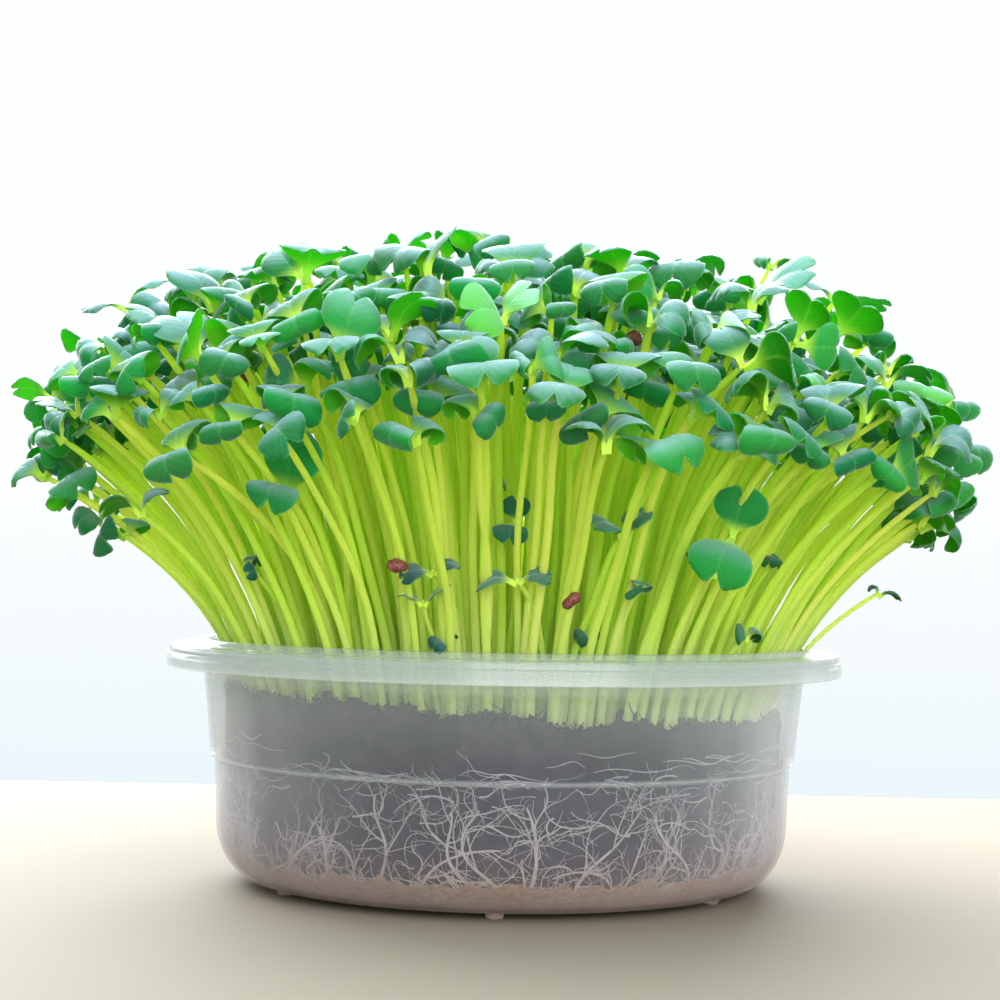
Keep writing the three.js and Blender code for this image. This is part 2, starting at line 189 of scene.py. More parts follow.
def milky_plastic():
    look, tree, plastic = look_nodes("milky_polypropylene")
    place = place_on(tree)
    climb = remap(tree, axis(tree, place, "Z"), 0.0, 0.064)
    # The plastic's colour is painted light by height: warm and pinkish at the foot as if lit by warm light
    # bounced from below, cool and bluish up the wall as a painted reflection of the bright room, and darker
    # again at the rim.
    tone = ramp(tree, climb, (0.0, (0.5, 0.39, 0.34)), (0.25, (0.57, 0.54, 0.59)),
                (0.5, (0.64, 0.67, 0.71)), (0.85, (0.64, 0.68, 0.67)), (0.9, (0.42, 0.485, 0.47)))
    tree.links.new(tone, plastic.inputs["Base Color"])
    plastic.inputs["Roughness"].default_value = 0.18
    plastic.inputs["IOR"].default_value = 1.6
    clear = shade(tree, "ShaderNodeBsdfTransparent", Color=(0.97, 0.985, 0.985, 1))
    edge = shade(tree, "ShaderNodeLayerWeight", Blend=0.35)
    # The feet are solid, the step and the rim are doubled and seen on edge, so all three are whiter.
    haze = ramp(tree, climb, *((at, (share,) * 3) for at, share in (
        (0.0, 0.4), (0.024, 0.3), (0.04, 0.08), (0.3, 0.05), (0.5, 0.05), (0.507, 0.17), (0.516, 0.17),
        (0.524, 0.045), (0.6, 0.05), (0.82, 0.1), (0.87, 0.28), (0.95, 0.32), (0.98, 0.16))))
    # The plastic flowed up the wall as it filled the mould, which left faint upright streaks.
    flow = shade(tree, "ShaderNodeMapping", Vector=place)
    flow.inputs["Scale"].default_value = (1, 1, 0.06)
    streaks = shade(tree, "ShaderNodeTexNoise", Vector=flow.outputs["Vector"], Scale=85.0, Detail=2.0)
    streaks = remap(tree, streaks.outputs["Fac"], 0.35, 0.65, 0.75, 1.1)
    veil = maths(tree, "MULTIPLY", maths(tree, "POWER", edge.outputs["Facing"], 1.7), streaks)
    body = shade(tree, "ShaderNodeMixShader", Fac=maths(tree, "MULTIPLY_ADD", veil, 0.95, haze),
                 i1=clear.outputs["BSDF"], i2=plastic.outputs["BSDF"])
    tree.links.new(body.outputs["Shader"], tree.nodes["Material Output"].inputs["Surface"])
    return look


skirt_foot = RIM_HEIGHT - 5.7
ledge = RIM_HEIGHT - 2.2
lip = MOUTH_RADIUS - WALL
rim_line = [
    (MOUTH_RADIUS, RIM_HEIGHT - WALL - 0.4), (MOUTH_RADIUS + 0.4, RIM_HEIGHT - WALL),
    (RIM_RADIUS - 1.8, RIM_HEIGHT - WALL), (RIM_RADIUS - 1.4, RIM_HEIGHT - WALL - 0.4),
    (RIM_RADIUS - 1.4, ledge - WALL), (RIM_RADIUS - WALL, ledge - WALL - 0.4),
    (RIM_RADIUS - WALL, skirt_foot + 0.15), (RIM_RADIUS - WALL + 0.15, skirt_foot),
    (RIM_RADIUS - 0.15, skirt_foot), (RIM_RADIUS, skirt_foot + 0.15),
    (RIM_RADIUS - 0.05, ledge - 0.1), (RIM_RADIUS - 0.2, ledge + 0.15),
    (RIM_RADIUS - 0.55, ledge + 0.25), (RIM_RADIUS - 0.6, RIM_HEIGHT - 0.5),
    (RIM_RADIUS - 0.75, RIM_HEIGHT - 0.15), (RIM_RADIUS - 1.1, RIM_HEIGHT),
    (lip + 2.4, RIM_HEIGHT), (lip + 2.0, RIM_HEIGHT + 0.15), (lip + 1.75, RIM_HEIGHT + 1.1),
    (lip + 1.5, RIM_HEIGHT + 1.35), (lip + 0.6, RIM_HEIGHT + 1.4), (lip + 0.2, RIM_HEIGHT + 1.2),
    (lip + 0.05, RIM_HEIGHT + 0.4),
]
tub_line = wall_line(0, RIM_HEIGHT - WALL - 1.2) + rim_line + wall_line(WALL, RIM_HEIGHT - 0.6)[::-1]
points, faces = turned(tub_line, 160)
for foot in range(6):
    middle = math.radians(-91 + 60 * foot)
    stub, stub_faces = turned([(0, 0), (1.7, 0), (2.05, 0.2), (2.2, 0.6), (2.35, 1.65)], 20)
    first = len(points)
    points += [(61 * math.cos(middle) + x, 61 * math.sin(middle) + y, z) for x, y, z in stub]
    faces += [tuple(first + corner for corner in face) for face in stub_faces]
tub = new_piece("tub_shell", points, faces, [milky_plastic()], smooth_below=40)
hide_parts("tub")

# Soil: moist potting soil of dark peat and fine bark, filled loosely and settled while watering. Its
# top is crumbly and heaped a little to one side. It lies just inside the wall, where the roots run.

SOIL_LEVEL = 46.0
SOIL_SLOPE = 0.045
SOIL_BUMP = 1.3
SOIL_INSET = 2.25
SOIL_EDGE = 72.7


def soil_height(x, y):
    """Height of the soil, which slopes a little and lies in soft lumps."""
    lumps = np.sin(x * 0.23 + 1.1) * np.cos(y * 0.19) + 0.6 * np.sin(x * 0.11 - y * 0.31)
    return SOIL_LEVEL - SOIL_SLOPE * x + SOIL_BUMP * lumps


def tinted(tree, kind, factor, first, second):
    """A colour blended from two others, each a socket or an (r, g, b)."""
    node = shade(tree, "ShaderNodeMix")
    node.data_type, node.blend_type = "RGBA", kind
    for socket, value in ((node.inputs[0], factor), (node.inputs[6], first), (node.inputs[7], second)):
        if isinstance(value, bpy.types.NodeSocket):
            tree.links.new(value, socket)
        else:
            socket.default_value = (*value, 1) if isinstance(value, tuple) else value
    return node.outputs[2]


def crumbly_soil():
    look, tree, soil = look_nodes("crumbly_soil")
    place = place_on(tree)
    clods = shade(tree, "ShaderNodeTexNoise", Vector=place, Scale=240.0, Detail=2.0, Roughness=0.5)
    damp = shade(tree, "ShaderNodeTexNoise", Vector=place, Scale=45.0, Detail=3.0)
    grain = ramp(tree, clods.outputs["Fac"], (0.35, (0.013, 0.012, 0.017)), (0.55, (0.021, 0.019, 0.026)),
                 (0.75, (0.033, 0.03, 0.035)))
    patch = ramp(tree, damp.outputs["Fac"], (0.35, (0.45, 0.45, 0.5)), (0.65, (1.25, 1.2, 1.2)))
    tree.links.new(tinted(tree, "MULTIPLY", 1.0, grain, patch), soil.inputs["Base Color"])
    soil.inputs["Roughness"].default_value = 0.95
    soil.inputs["Specular IOR Level"].default_value = 0.25
    rough = shade(tree, "ShaderNodeBump", Strength=0.15, Distance=0.001, Height=clods.outputs["Fac"])
    tree.links.new(rough.outputs["Normal"], soil.inputs["Normal"])
    return look


def noisy(points, scale, offset=0.0):
    """Smooth noise from -1 to 1 at each point."""
    return np.array([noise.noise(Vector((x * scale + offset, y * scale, z * scale))) for x, y, z in points])


def add_thread(points, faces, line, radii, sides=4):
    """Adds a closed thread round a line of points, with a radius at each."""
    along = np.gradient(line, axis=0)
    along /= np.linalg.norm(along, axis=1)[:, None] + 1e-12
    outward = line * [1, 1, 0]
    outward /= np.linalg.norm(outward, axis=1)[:, None] + 1e-12
    across = np.cross(along, outward)
    across /= np.linalg.norm(across, axis=1)[:, None] + 1e-12
    out = np.cross(across, along)
    first = len(points)
    for k in range(sides):
        turn = 2 * math.pi * (k + 0.5) / sides
        ring = line + radii[:, None] * (math.cos(turn) * across + math.sin(turn) * out)
        points.extend(ring.tolist())
    count = len(line)
    for k in range(sides):
        low, high = first + k * count, first + (k + 1) % sides * count
        faces.extend((low + j, high + j, high + j + 1, low + j + 1) for j in range(count - 1))
    faces.append(tuple(first + k * count for k in range(sides))[::-1])
    faces.append(tuple(first + k * count + count - 1 for k in range(sides)))


soil_line = [(min(max(r, 0), SOIL_EDGE), z) for r, z in wall_line(SOIL_INSET, 40, 10)]
side_steps = [(SOIL_EDGE, z) for z in np.linspace(40.7, 45.4, 8)]
top_radii = [72.6, 72.1, 71.5, 70.5, 69, 67, 65, 62, 59, 55, 50, 44, 37, 29, 20, 10, 0]
points, faces = turned(soil_line + side_steps + [(r, SOIL_LEVEL) for r in top_radii], 330)
points = np.array(points, dtype=float)
on_top = points[:, 2] > 45.9
rising = np.clip((points[:, 2] - 34) / 12, 0, 1)
points[:, 2] += rising * (soil_height(points[:, 0], points[:, 1]) - SOIL_LEVEL)
coarse, fine, crumbly = noisy(points, 0.16), noisy(points, 0.6, 7.0), noisy(points, 1.5, 3.0)
points[on_top, 2] += 1.6 * coarse[on_top] + 1.3 * fine[on_top] + 1.0 * crumbly[on_top]
points[on_top, 2] += np.interp(np.hypot(points[on_top, 0], points[on_top, 1]), [66, 71, 72.7], [0, 1.8, 1.0])
radius = np.hypot(points[:, 0], points[:, 1])
side = (~on_top) & (radius > 60)
squeeze = 1 - np.where(side, 0.2 + 0.2 * coarse + 0.2 * fine, 0) / np.maximum(radius, 1)
points[:, :2] *= squeeze[:, None]
points, faces = points.tolist(), list(faces)

# Loose crumbs lie on the soil, most of them along the wall.
crumb_draw = np.random.default_rng(11)
CRUMBS, CRUMBS_AT_WALL, FIBRES = 3800, 3000, 420
ball = [(0, 0, 1), (0.9, 0, 0.3), (0.28, 0.85, 0.3), (-0.72, 0.53, 0.3), (-0.72, -0.53, 0.3),
        (0.28, -0.85, 0.3), (0.6, 0.5, -0.6), (-0.4, 0.7, -0.6), (-0.4, -0.7, -0.6), (0.6, -0.5, -0.6),
        (0, 0, -1)]
ball_faces = [(0, 1, 2), (0, 2, 3), (0, 3, 4), (0, 4, 5), (0, 5, 1), (1, 6, 2), (2, 6, 7), (2, 7, 3),
              (3, 7, 8), (3, 8, 4), (4, 8, 5), (5, 8, 9), (5, 9, 1), (1, 9, 6), (6, 10, 7), (7, 10, 8),
              (8, 10, 9), (9, 10, 6)]
for crumb in range(CRUMBS):
    near_wall = crumb < CRUMBS_AT_WALL
    r = 72.6 - 3.2 * crumb_draw.random() ** 1.6 if near_wall else 71 * math.sqrt(crumb_draw.random())
    turn = 2 * math.pi * crumb_draw.random()
    x, y = r * math.cos(turn), r * math.sin(turn)
    size = 0.22 + 0.85 * crumb_draw.random() ** 4
    z = float(soil_height(x, y)) + 1.6 * noise.noise(Vector((x * 0.16, y * 0.16, 7.4))) + size * 0.35
    z += (2.4 if near_wall else 0.8) * crumb_draw.random() ** 2
    long_way = crumb_draw.normal(size=3) * 0.45 + 1
    spin = Euler(crumb_draw.random(3) * 6.3).to_matrix()
    first = len(points)
    for corner in ball:
        knob = Vector(corner) * size * (0.75 + 0.5 * crumb_draw.random())
        knob = spin @ Vector((knob.x * long_way[0], knob.y * long_way[1] * 0.8, knob.z * 0.8))
        points.append((x + knob.x, y + knob.y, z + knob.z))
    faces += [tuple(first + corner for corner in face) for face in ball_faces]
# Bark fibres stick out of the soil's edge.
for fibre in range(FIBRES):
    turn, reach = 2 * math.pi * crumb_draw.random(), 72.4 - 3 * crumb_draw.random()
    x, y = reach * math.cos(turn), reach * math.sin(turn)
    way = crumb_draw.normal(size=3) * [0.9, 0.9, 0.5] + [0, 0, 0.8]
    way -= np.array([x, y, 0]) / reach * max(0, way.dot([x / reach, y / reach, 0]))
    share = np.linspace(0, 1, 5)[:, None]
    line = np.array([x, y, float(soil_height(x, y))]) + way * share * (1.2 + 2.4 * crumb_draw.random())
    add_thread(points, faces, line + 0.4 * np.sin(share * 5 + fibre) * [1, -1, 0.3],
               np.array([0.2, 0.19, 0.17, 0.13, 0.06]) * (0.6 + 0.8 * crumb_draw.random()), 3)
soil = new_piece("soil_fill", points, faces, [crumbly_soil()], smooth_below=50)
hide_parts("soil")

# Roots: fine white roots that have reached the wall. They rise as small trees from a thick pinkish
# mat, which has felted over the floor and round the corner of the tub, and a few wander above the step.

ROOT_INSET = WALL + 0.5
CORNER_CLIMB = 21.7
MAT_CLIMB = 12.5
MAT_INSET = WALL + 0.42
MAT_THICKNESS = 0.8


def white_root():
    look, tree, root = look_nodes("white_root")
    place = place_on(tree)
    climb = remap(tree, axis(tree, place, "Z"), 0.0, 0.034)
    tone = ramp(tree, climb, (0.0, (0.36, 0.24, 0.19)), (0.3, (0.34, 0.27, 0.25)), (0.6, (0.32, 0.29, 0.3)),
                (1.0, (0.27, 0.26, 0.28)))
    fuzz = shade(tree, "ShaderNodeTexNoise", Vector=place, Scale=420.0, Detail=4.0).outputs["Fac"]
    uneven = ramp(tree, fuzz, (0.3, (0.74, 0.72, 0.72)), (0.7, (1.0, 1.0, 1.0)))
    tree.links.new(tinted(tree, "MULTIPLY", 1.0, tone, uneven), root.inputs["Base Color"])
    root.inputs["Roughness"].default_value = 0.7
    return look


def felted_mat():
    look, tree, mat = look_nodes("felted_root_mat")
    place = place_on(tree)
    pulled = shade(tree, "ShaderNodeMapping", Vector=place)
    pulled.inputs["Scale"].default_value = (1, 1, 2.2)
    strands = shade(tree, "ShaderNodeTexNoise", Vector=pulled.outputs["Vector"], Scale=170.0, Detail=8.0,
                    Roughness=0.8, Distortion=2.6).outputs["Fac"]
    patches = shade(tree, "ShaderNodeTexNoise", Vector=place, Scale=46.0, Detail=2.0).outputs["Fac"]
    tone = ramp(tree, strands, (0.32, (0.13, 0.085, 0.065)), (0.46, (0.24, 0.16, 0.12)),
                (0.58, (0.33, 0.23, 0.18)), (0.7, (0.42, 0.32, 0.27)))
    rusty = ramp(tree, patches, (0.42, (1.0, 1.0, 1.0)), (0.66, (0.92, 0.74, 0.6)))
    tree.links.new(tinted(tree, "MULTIPLY", 1.0, tone, rusty), mat.inputs["Base Color"])
    mat.inputs["Roughness"].default_value = 0.85
    rough = shade(tree, "ShaderNodeBump", Strength=0.7, Distance=0.0008, Height=strands)
    tree.links.new(rough.outputs["Normal"], mat.inputs["Normal"])
    return look


def on_wall(turn, climb, inset):
    """Points inside the wall, a distance climbed from where the floor starts to curve up."""
    angle = (1 - np.clip(climb / CORNER_CLIMB, 0, 1)) * math.pi / 2
    r = FLAT_RADIUS + (CORNER_WIDE - inset) * np.cos(angle)
    z = CORNER_TOP - (CORNER_TOP - FLOOR_HEIGHT - inset) * np.sin(angle)
    r = np.where(climb < 0, FLAT_RADIUS + climb, r)
    up = climb > CORNER_CLIMB
    z = np.where(up, CORNER_TOP + climb - CORNER_CLIMB, z)
    r = np.where(up, wall_radius(z, inset), r)
    return np.stack([r * np.cos(turn), r * np.sin(turn), z], axis=-1)


root_draw = np.random.default_rng(5)


def grow_root(points, faces, turn, climb, heading, bend, length, thick, side_roots):
    """One root along the wall with its side roots.

    Heading 0 is straight up and bend is its whole turning. side_roots lists how many side roots each
    order of root bears, their share of its length and how far they spread."""
    steps = int(np.clip(length / 1.1, 4, 16))
    share = np.linspace(0, 1, steps + 1)
    wave = 0.45 * root_draw.normal() * np.sin(share * (4 + 5 * root_draw.random()) + 6.3 * root_draw.random())
    way = heading + bend * share + wave
    stride = length / steps
    turns = turn + np.concatenate([[0], np.cumsum(np.sin(way[:-1]))]) * stride / 74
    climbs = climb + np.concatenate([[0], np.cumsum(np.cos(way[:-1]))]) * stride
    climbs = np.where(climbs > 35, 35 + (climbs - 35) * 0.5, climbs)
    radii = thick * (1 - 0.6 * share)
    sunk = 0.5 * root_draw.random() * (1 + np.sin(share * 6 + 6.3 * root_draw.random()))
    depth = ROOT_INSET + sunk + 0.8 * radii
    add_thread(points, faces, on_wall(turns, climbs, depth), radii, 4 if thick > 0.12 else 3)
    if not side_roots:
        return
    count, lengths, spread = side_roots[0]
    for branch in range(count):
        at = min(steps, 1 + int(steps * (branch + root_draw.random()) / count))
        side = 1 if (branch + steps) % 2 else -1
        turned_out = side * spread * (0.6 + 0.7 * root_draw.random())
        grow_root(points, faces, turns[at], climbs[at], way[at] + turned_out,
                  turned_out * (0.9 * root_draw.random() - 0.45),
                  length * lengths * (0.6 + 0.8 * root_draw.random()),
                  max(0.1, radii[at] * 0.62), side_roots[1:])


points, faces = [], []
TREES, TUFTS, STRANDS, WISPS = 54, 190, 210, 60
for tree_root in range(TREES):
    start = 2 * math.pi * (tree_root + 0.9 * root_draw.random()) / TREES
    grow_root(points, faces, start, 7 + 5 * root_draw.random(), root_draw.normal() * 0.3,
              root_draw.normal() * 0.9, 15 + 12 * root_draw.random(),
              0.36 + 0.5 * root_draw.random() ** 1.5, [(5, 0.55, 0.55), (4, 0.45, 0.6)])
for tuft in range(TUFTS):
    start = 2 * math.pi * (tuft + root_draw.random()) / TUFTS
    grow_root(points, faces, start, MAT_CLIMB - 3 + 3 * root_draw.random(), root_draw.normal() * 0.8,
              root_draw.normal() * 1.2, 4 + 7 * root_draw.random(), 0.16 + 0.1 * root_draw.random(),
              [(3, 0.6, 0.6)])
for strand in range(STRANDS):
    start = 2 * math.pi * root_draw.random()
    level = 1.57 * root_draw.choice([-1, 1]) + 0.4 * root_draw.normal()
    grow_root(points, faces, start, 14 + 27 * root_draw.random() ** 0.7, level, root_draw.normal() * 1.5,
              7 + 12 * root_draw.random(), 0.13 + 0.2 * root_draw.random() ** 2, [(2, 0.4, 0.7)])
for wisp in range(WISPS):
    turn, climb = 2 * math.pi * root_draw.random(), 36.4 + 9 * root_draw.random() ** 1.7
    sweep, arch = 0.12 + 0.17 * root_draw.random(), root_draw.normal()
    share = np.linspace(0, 1, 14)
    path = climb + 1.8 * arch * np.sin(share * 3) + np.sin(share * 7 + wisp) * 0.5
    line = on_wall(turn + sweep * share, path, np.full(14, ROOT_INSET + 0.25))
    add_thread(points, faces, line, 0.17 * (0.5 + root_draw.random()) * (1 - 0.5 * np.abs(share * 2 - 1)))
thread_count = len(faces)

MAT_SEGMENTS = 200
around = np.linspace(0, 2 * math.pi, MAT_SEGMENTS, endpoint=False)
ragged = np.array([noise.noise(Vector((math.cos(t) * 9, math.sin(t) * 9, 3.0))) +
                   0.7 * noise.noise(Vector((math.cos(t) * 34, math.sin(t) * 34, 5.0))) for t in around])
mat_rows = [-62.0, -40.0, -20.0, -6.0]
mat_rows += [(MAT_CLIMB + 3.4 * ragged) * share for share in np.linspace(0, 1, 12)]
rings = [on_wall(around, row + 0 * around, MAT_INSET) for row in mat_rows]
rings += [on_wall(around, row + 0 * around, MAT_INSET + MAT_THICKNESS) for row in mat_rows[::-1]]
first = len(points)
for ring in rings:
    points.extend(ring.tolist())
for low in range(len(rings) - 1):
    for k in range(MAT_SEGMENTS):
        n = (k + 1) % MAT_SEGMENTS
        a, b = first + low * MAT_SEGMENTS, first + (low + 1) * MAT_SEGMENTS
        faces.append((a + k, a + n, b + n, b + k))
faces.append(tuple(range(first, first + MAT_SEGMENTS))[::-1])
faces.append(tuple(range(len(points) - MAT_SEGMENTS, len(points))))
look_of_face = [0] * thread_count + [1] * (len(faces) - thread_count)
roots = new_piece("roots_on_the_wall", points, faces, [white_root(), felted_mat()], look_of_face,
                  smooth_below=80)
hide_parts("root_mat")

# Seedlings: radish about ten days old, sown thickly. Each is a juicy stem that rises from the soil,
# leans out towards the light and forks into two heart-shaped seed leaves, whose blades curl back.

SEEDLINGS = 78
BUNCHES = 26
SOW_RADIUS = 67.0
RIM_PASS = SOW_RADIUS + 9
STEM_CIRCLE = 1.9
CANOPY_REACH = 124.0
CANOPY_TOP = 165.0
CANOPY_FALL = 40.0
CREST_OFFSET = 5.0
INNER_BEND, OUTER_BEND, FREE_BEND = 0.56, 0.68, 0.58
SOWN_DEPTH = 2.5
FORK_RISE = 5.0
CANOPY_SPREAD = 0.72
TIP_DROP = 25.0
EDGE_SHARE = 0.9
# The first number of the late seedlings, of those between, and of those that hang low.
FIRST_LATE, FIRST_BETWEEN, FIRST_LOW = 200, 300, 800
GOLDEN_ANGLE = math.pi * (3 - math.sqrt(5))
# Tip (x, y, z), size and the way the leaves point in degrees.
STANDOUTS = [
    ((70, 4, 168), 0.65, 25), ((87, -6, 159), 0.9, 4), ((78, 8, 156), 0.9, 20),
    ((117, -10, 131), 1.1, -35), ((-103, -4, 154), 0.95, 10), ((-2, -12, 164), 1.2, -8),
    ((25, 14, 162), 1.05, 40), ((52, -86, 95), 1.0, 78), ((-50, -88, 102), 1.1, 60),
    ((-17, -83, 84), 0.55, 20), ((2, -84, 83), 0.65, -4), ((27, -84, 94), 0.7, 35),
]
# Seedlings that sprouted late and stayed small and low among the stems; their leaves are coloured almost
# black.
LATECOMERS = [
    ((-19, -78, 77), 0.5, -10), ((2, -72, 96), 0.55, 80), ((58, -60, 70), 0.55, 10),
    ((65, -52, 87), 0.45, 60), ((49, -70, 85), 0.6, 15), ((-14, -74, 67), 0.4, 40),
    ((96, -22, 80), 0.45, -20), ((31, -76, 80), 0.4, 85), ((20, -68, 69), 0.45, 30),
    ((-62, -56, 84), 0.45, 50), ((-5, -70, 104), 0.5, 10),
]


def vary(index, channel):
    """A number from 0 to 1 that is always the same for the same index and channel."""
    wave = math.sin(index * 12.9898 + channel * 78.233 + 4.1) * 43758.5453
    return wave - math.floor(wave)


def spiral(index, count, radius):
    """Share of the radius, x and y of one of many places that fill a circle evenly."""
    share, angle = math.sqrt((index + 0.5) / count), index * GOLDEN_ANGLE
    return share, radius * share * math.cos(angle), radius * share * math.sin(angle)


def foot_of(bunch):
    share, x, y = spiral(bunch, BUNCHES, SOW_RADIUS)
    return np.array([x, y, float(soil_height(x, y))])


def unit(vector):
    return vector / (np.linalg.norm(vector) + 1e-12)


bunch_feet = [foot_of(bunch) for bunch in range(BUNCHES)]


def grown(tip, size, turn, index, in_bunch=True):
    """One seedling: its bunch, the foot, bend and tip of its stem, its size and its leaves' direction."""
    tip = np.array(tip, dtype=float)
    edge = min(CANOPY_REACH, RIM_PASS + CANOPY_SPREAD * (tip[2] - RIM_HEIGHT))
    sown = tip[:2] * SOW_RADIUS / max(edge, 0 if in_bunch else np.hypot(*tip[:2]))
    bunch = min(range(BUNCHES), key=lambda b: np.hypot(*(bunch_feet[b][:2] - sown)))
    if in_bunch:
        base = bunch_feet[bunch].copy()
        side = math.atan2(tip[1] * 0.55 - base[1], tip[0] * 0.55 - base[0])
        base += [STEM_CIRCLE * math.cos(side), STEM_CIRCLE * math.sin(side), -SOWN_DEPTH]
    else:
        base = np.array([*sown, float(soil_height(*sown)) - SOWN_DEPTH])
    across = math.hypot(tip[0] - base[0], tip[1] - base[1]) + 1e-6
    least, most, outer = (0.13, 0.12, OUTER_BEND) if in_bunch else (0.16, 0.17, FREE_BEND)
    lean = min(least + 0.16 * vary(index, 6), most * (tip[2] - base[2]) / across)
    bend = base + (tip - base) * lean
    steep = INNER_BEND + (outer - INNER_BEND) * min(1, np.hypot(*tip[:2]) / CANOPY_REACH) ** 2
    bend[2] = base[2] + (tip[2] - base[2]) * steep
    up = unit(unit(tip - bend) + np.array([0, 0, 1.0]))
    return dict(bunch=bunch, base=base, bend=bend, tip=tip - up * FORK_RISE * size, up=up, size=size,
                turn=turn, index=index, late=False)


plants = [grown(tip, size, math.radians(turn), SEEDLINGS + place)
          for place, (tip, size, turn) in enumerate(STANDOUTS)]
for index in range(SEEDLINGS):
    share, x, y = spiral(index, SEEDLINGS, CANOPY_REACH)
    from_crest = math.hypot(x + CREST_OFFSET, y) / CANOPY_REACH
    height = CANOPY_TOP - CANOPY_FALL * from_crest ** 4 - TIP_DROP * vary(index, 3) ** 1.4
    turn = math.atan2(y, x) + 0.8 * (vary(index, 5) - 0.5) if share > EDGE_SHARE else math.pi * vary(index, 5)
    plants.append(grown((x, y, height), 0.86 + 0.3 * vary(index, 4), turn, index))
for place, (tip, size, turn) in enumerate(LATECOMERS):
    plants.append(grown(tip, size, math.radians(turn), FIRST_LATE + place, False))
# The last three that stand out are late ones too.
for plant in plants[len(STANDOUTS) - 3:len(STANDOUTS)] + plants[-len(LATECOMERS):]:
    plant["late"] = True


def stem_line(plant, shares):
    """Points on the smooth bend of a stem, from 0 at its foot to 1 at its tip."""
    t = np.asarray(shares)[:, None]
    return plant["base"] * (1 - t) ** 2 + plant["bend"] * 2 * t * (1 - t) + plant["tip"] * t * t


def leaf_middles(plant):
    way = np.array([math.cos(plant["turn"]), math.sin(plant["turn"]), 0])
    return [plant["tip"] + [0, 0, 4 * plant["size"]] + way * 5 * plant["size"] * sign for sign in (1, -1)]


# Between the seedlings of the frame stand many more. Each takes the freest of several places, so that
# its leaves push through the gaps as they do when they grow.
grow_draw = np.random.default_rng(23)
MORE_SEEDLINGS = 440
PLACES_TRIED = 14
DEEPEST_TIP = 27.0
FARTHEST_TIP = 0.975
OPEN_RADIUS, OPEN_DEPTH = 40, 13
TOWERING = STANDOUTS[:5]
middles = [middle for plant in plants for middle in leaf_middles(plant)]
stem_points = [stem_line(plant, np.linspace(0.35, 0.96, 9)) for plant in plants]
for extra in range(MORE_SEEDLINGS):
    share, x, y = spiral(extra + 0.37, MORE_SEEDLINGS, CANOPY_REACH)
    x, y = x * share ** -0.15, y * share ** -0.15
    best = None
    taken, stems = np.array(middles), np.concatenate(stem_points)
    for attempt in range(PLACES_TRIED):
        tip = np.array([x, y, 0]) + [*(grow_draw.normal(size=2) * 3.5), 0]
        reach = np.hypot(*tip[:2]) / CANOPY_REACH
        tip[:2] *= min(1, FARTHEST_TIP / reach)
        deep = DEEPEST_TIP * grow_draw.random() ** 1.4 * (1 - 0.45 * min(reach, 1) ** 2)
        from_crest = math.hypot(tip[0] + CREST_OFFSET, tip[1]) / CANOPY_REACH
        tip[2] = CANOPY_TOP - 2.5 - CANOPY_FALL * from_crest ** 4 - deep
        # The seedlings that tower over the rest have some air round them.
        crowd = min(math.hypot(tip[0] - x, tip[1] - y) for (x, y, z), size, turn in TOWERING)
        tip[2] -= OPEN_DEPTH * max(0, 1 - crowd / OPEN_RADIUS)
        widest = 1.06 * (RIM_PASS + CANOPY_SPREAD * (tip[2] - RIM_HEIGHT))
        tip[:2] *= min(1, widest / np.hypot(*tip[:2]))
        plant = grown(tip, 0.78 + 0.36 * grow_draw.random(), math.pi * grow_draw.random(),
                      FIRST_BETWEEN + extra, False)
        room = 99.0
        for middle in leaf_middles(plant):
            room = min(room, np.linalg.norm(taken - middle, axis=1).min(),
                       2.2 * np.linalg.norm(stems - middle, axis=1).min())
        if best is None or room > best[0]:
            best = (room, plant)
    plants.append(best[1])
    middles += leaf_middles(best[1])
    stem_points.append(stem_line(best[1], np.linspace(0.35, 0.96, 9)))
# A few hang low over one side.
LOW_SIDE = [
    ((-107, -14, 97), 0.95, 20), ((-120, -26, 108), 1.0, -30), ((-97, -34, 93), 0.85, 60),
    ((-122, 4, 112), 1.1, 15), ((-110, -38, 103), 0.9, -60), ((-116, 22, 102), 0.9, 40),
    ((-90, -52, 98), 0.85, 10),
]
for place, (tip, size, turn) in enumerate(LOW_SIDE):
    plants.append(grown(tip, size, math.radians(turn), FIRST_LOW + place, False))

BLADE_LENGTH = 15.0
BLADE_HALF_WIDTH = 7.3
ROWS = np.array([0, 0.1, 0.2, 0.28, 0.36, 0.45, 0.55, 0.65, 0.75, 0.85, 0.93, 1.0])
ACROSS = np.array([-1, -0.9, -0.68, -0.42, -0.15, 0, 0.15, 0.42, 0.68, 0.9, 1])
WIDTH_AT = np.interp(ROWS, [0, 0.12, 0.22, 0.28, 0.36, 0.45, 0.55, 0.65, 0.75, 0.85, 0.93, 1.0],
                     [0.11, 0.1, 0.16, 0.32, 0.59, 0.81, 0.95, 1.0, 0.98, 0.89, 0.73, 0.47])
LOBE = np.interp(np.abs(ACROSS), [0, 0.15, 0.42, 0.68, 0.9, 1], [0.79, 0.86, 0.97, 1.0, 0.975, 0.945])
THICK_AT = np.interp(ROWS, [0, 0.15, 0.35, 0.6, 1.0], [0.75, 0.55, 0.3, 0.25, 0.2])
ALONG = np.linspace(0, 1, 41)


